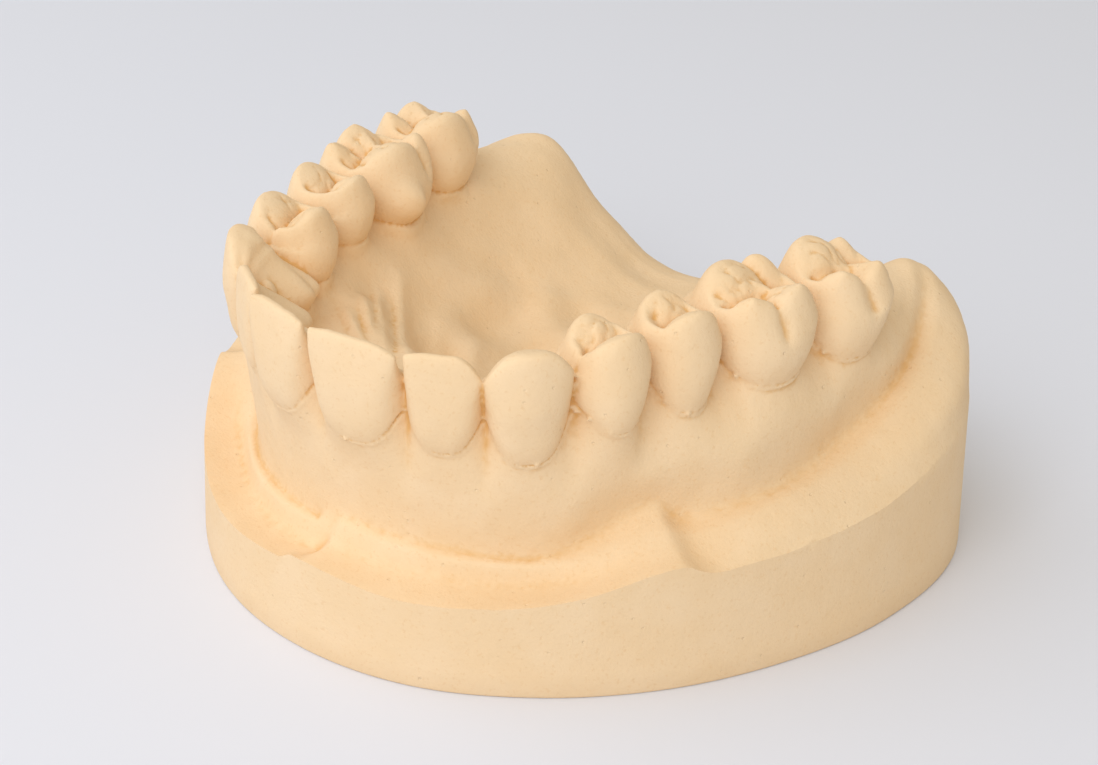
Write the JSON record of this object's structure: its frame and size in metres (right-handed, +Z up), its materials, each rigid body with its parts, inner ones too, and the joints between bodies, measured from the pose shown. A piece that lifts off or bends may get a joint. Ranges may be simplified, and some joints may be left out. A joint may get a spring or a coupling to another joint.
{
  "type": "upper dental stone cast",
  "caption": "Dental stone study cast of an upper arch: teeth, gums, palate and vestibule on a low rounded base, standing teeth up.",
  "frame": {"origin": "centre of the flat underside of the base", "axes": "+Z up through the teeth, -Y towards the front teeth, +X to the right as seen from the front"},
  "size_m": [0.0756, 0.0676, 0.0331],
  "materials": {
    "dental_stone": "matte",
    "base_stone": "matte"
  },
  "bodies": {
    "root": {"anatomic_portion": "dental_stone", "art_base": "base_stone"}
  },
  "joints": []
}
